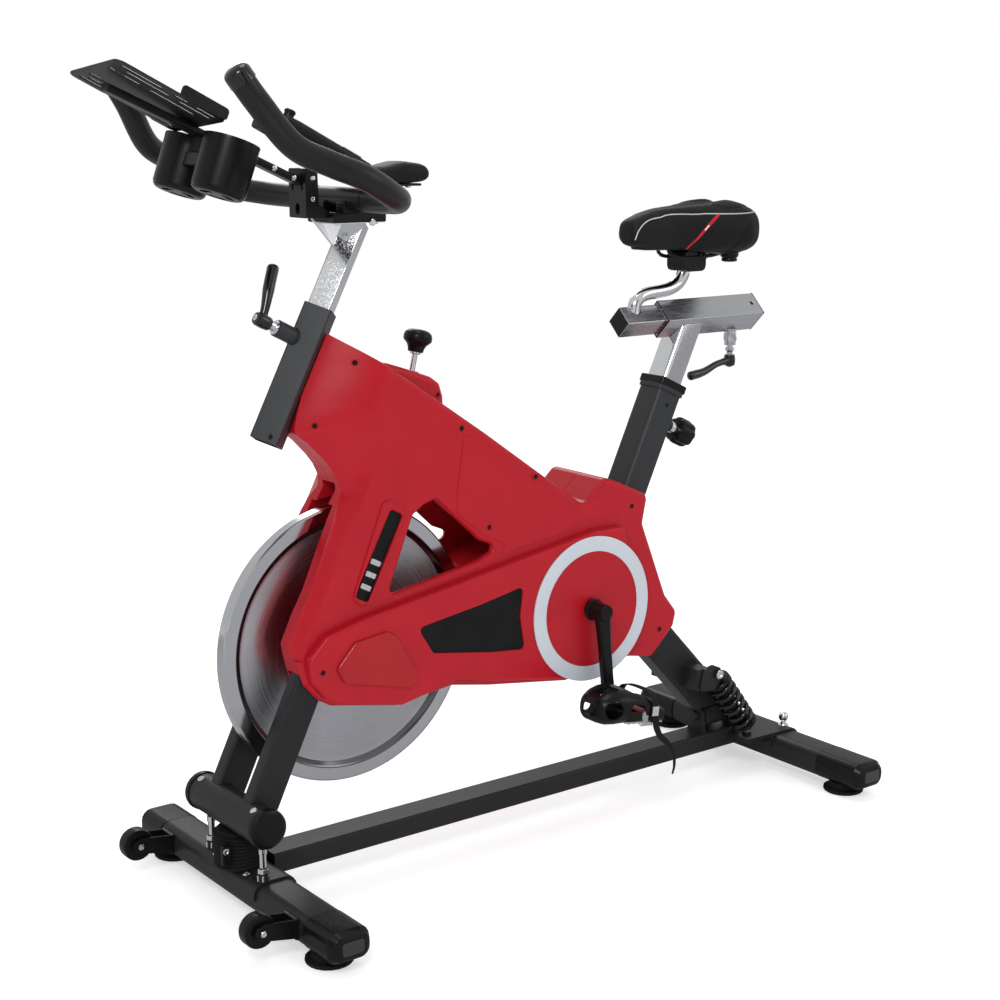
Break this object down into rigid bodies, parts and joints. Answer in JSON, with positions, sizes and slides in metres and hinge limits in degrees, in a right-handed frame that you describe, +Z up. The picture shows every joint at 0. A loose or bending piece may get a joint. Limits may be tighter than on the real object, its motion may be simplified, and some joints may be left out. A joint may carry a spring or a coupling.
{
  "type": "indoor spin bike",
  "caption": "Indoor cycling bike: a flywheel frame that leans on a wide base, with cranks and toe cages, a clamped saddle post, a horned handlebar, cups and a tablet tray.",
  "frame": {"origin": "on the floor, under the middle of the machine's length and width", "axes": "+Z up, the rider faces -X, the rider's left is -Y"},
  "size_m": [1.4267, 0.654, 1.3516],
  "materials": {
    "black_plastic": "black, slightly glossy",
    "black_rubber": "matt black",
    "brushed_steel": "brushed",
    "chrome": "polished",
    "frame_paint": "dark grey satin paint",
    "red_plastic": "satin red moulding",
    "saddle_cover": "black grained cover"
  },
  "bodies": {
    "base": {"base_beam": "frame_paint", "front_stabiliser": "frame_paint", "rear_stabiliser": "frame_paint", "front_cap_left": "black_plastic", "front_cap_right": "black_plastic", "rear_cap_left": "black_plastic", "rear_cap_right": "black_plastic", "front_saddle": "frame_paint", "rear_saddle": "frame_paint", "wheel_fork_left": "black_plastic", "wheel_fork_right": "black_plastic", "rubber_mount": "black_rubber"},
    "front_left_foot": {"front_foot_left": "black_rubber"},
    "front_right_foot": {"front_foot_right": "black_rubber"},
    "rear_left_foot": {"rear_foot_left": "black_rubber"},
    "rear_right_foot": {"rear_foot_right": "black_rubber"},
    "left_wheel": {"transport_wheel_left": "black_plastic"},
    "right_wheel": {"transport_wheel_right": "black_plastic"},
    "upper_frame": {"pivot_tube": "frame_paint", "fork_leg_left": "frame_paint", "fork_leg_right": "frame_paint", "head_sleeve": "frame_paint", "spine_tube": "frame_paint", "seat_sleeve": "frame_paint", "rear_leg": "frame_paint", "side_rail_left": "frame_paint", "side_rail_right": "frame_paint", "shroud_left": "red_plastic", "shroud_right": "red_plastic", "belt_guard": "red_plastic", "shock_left": "black_plastic", "shock_right": "black_plastic", "drive_belt": "black_rubber"},
    "flywheel_unit": {"flywheel": "brushed_steel", "flywheel_axle": "brushed_steel", "flywheel_pulley": "brushed_steel"},
    "crankset": {"crank_axle": "chrome", "crank_pulley": "brushed_steel", "crank_left": "black_plastic", "crank_right": "black_plastic"},
    "left_pedal": {"pedal_left": "black_plastic"},
    "right_pedal": {"pedal_right": "black_plastic"},
    "handlebar_mast": {"handlebar_post": "chrome", "handlebar": "black_rubber", "front_bracket": "black_plastic", "cup_holder": "black_plastic", "tablet_tray": "frame_paint", "console": "black_plastic", "rear_pad": "saddle_cover"},
    "bar_clamp": {"bar_lever": "black_plastic"},
    "seat_mast": {"seat_post": "chrome", "slider_tube": "brushed_steel"},
    "seat_carriage": {"slider_bar": "brushed_steel", "swan_neck": "chrome"},
    "saddle_head": {"saddle": "saddle_cover", "saddle_clamp": "black_plastic"},
    "slider_clamp": {"slider_lever": "black_plastic"},
    "pull_pin": {"pop_pin": "black_plastic"},
    "brake": {"brake_rod": "chrome"},
    "resistance_dial": {"resistance_knob": "black_plastic"}
  },
  "joints": [
    {"name": "front_left_foot_height", "type": "slide", "parent": "base", "child": "front_left_foot", "axis": [0, 0, 1], "range_m": [-0.01, 0]},
    {"name": "front_right_foot_height", "type": "slide", "parent": "base", "child": "front_right_foot", "axis": [0, 0, 1], "range_m": [-0.01, 0]},
    {"name": "rear_left_foot_height", "type": "slide", "parent": "base", "child": "rear_left_foot", "axis": [0, 0, 1], "range_m": [-0.01, 0]},
    {"name": "rear_right_foot_height", "type": "slide", "parent": "base", "child": "rear_right_foot", "axis": [0, 0, 1], "range_m": [-0.01, 0]},
    {"name": "left_wheel_spin", "type": "hinge", "parent": "base", "child": "left_wheel", "pos_m": [-0.598, -0.208, 0.06], "axis": [0, 1, 0], "continuous": true},
    {"name": "right_wheel_spin", "type": "hinge", "parent": "base", "child": "right_wheel", "pos_m": [-0.598, 0.208, 0.06], "axis": [0, 1, 0], "continuous": true},
    {"name": "frame_lean", "type": "hinge", "parent": "base", "child": "upper_frame", "pos_m": [0, 0, 0.118], "axis": [1, 0, 0], "range_deg": [-4, 4], "stiffness_Nm_per_rad": 1500, "deforming": ["rubber_mount", "shock_left", "shock_right"]},
    {"name": "flywheel_spin", "type": "hinge", "parent": "upper_frame", "child": "flywheel_unit", "pos_m": [-0.299, 0, 0.415], "axis": [0, 1, 0], "continuous": true},
    {"name": "crank_spin", "type": "hinge", "parent": "upper_frame", "child": "crankset", "pos_m": [0.158, 0, 0.416], "axis": [0, 1, 0], "continuous": true},
    {"name": "left_pedal_spin", "type": "hinge", "parent": "crankset", "child": "left_pedal", "pos_m": [0.17577, 0, 0.24693], "axis": [0, 1, 0], "continuous": true},
    {"name": "right_pedal_spin", "type": "hinge", "parent": "crankset", "child": "right_pedal", "pos_m": [0.14023, 0, 0.58507], "axis": [0, 1, 0], "continuous": true},
    {"name": "handlebar_height", "type": "slide", "parent": "upper_frame", "child": "handlebar_mast", "axis": [0.4571, 0, 0.8894], "range_m": [-0.05, 0.08]},
    {"name": "bar_lever_turn", "type": "hinge", "parent": "upper_frame", "child": "bar_clamp", "pos_m": [-0.44115, 0, 0.9607], "axis": [-0.8894, 0, 0.4571], "range_deg": [-120, 120]},
    {"name": "seat_height", "type": "slide", "parent": "upper_frame", "child": "seat_mast", "axis": [0.4242, 0, 0.9056], "range_m": [-0.06, 0.1]},
    {"name": "saddle_fore_aft", "type": "slide", "parent": "seat_mast", "child": "seat_carriage", "axis": [1, 0, 0], "range_m": [-0.05, 0.03]},
    {"name": "saddle_tilt", "type": "hinge", "parent": "seat_carriage", "child": "saddle_head", "pos_m": [0.453, 0, 1.03], "axis": [0, 1, 0], "range_deg": [-8, 8]},
    {"name": "slider_lever_turn", "type": "hinge", "parent": "seat_mast", "child": "slider_clamp", "pos_m": [0.577, 0, 0.81], "axis": [0, 0, 1], "range_deg": [-120, 120]},
    {"name": "pull_pin_pull", "type": "slide", "parent": "upper_frame", "child": "pull_pin", "axis": [0.9056, 0, -0.4242], "range_m": [0, 0.012], "stiffness_N_per_m": 600, "springref_m": -0.006},
    {"name": "brake_push", "type": "slide", "parent": "upper_frame", "child": "brake", "axis": [-0.225, 0, -0.9744], "range_m": [0, 0.0034], "stiffness_N_per_m": 2500, "springref_m": -0.005},
    {"name": "resistance_turn", "type": "hinge", "parent": "brake", "child": "resistance_dial", "pos_m": [-0.1445, 0, 0.928], "axis": [0.225, 0, 0.9744], "range_deg": [0, 1080]}
  ],
  "couplings": [
    {"joint": "crank_spin", "follows": "flywheel_spin", "ratio": 0.27083}
  ]
}
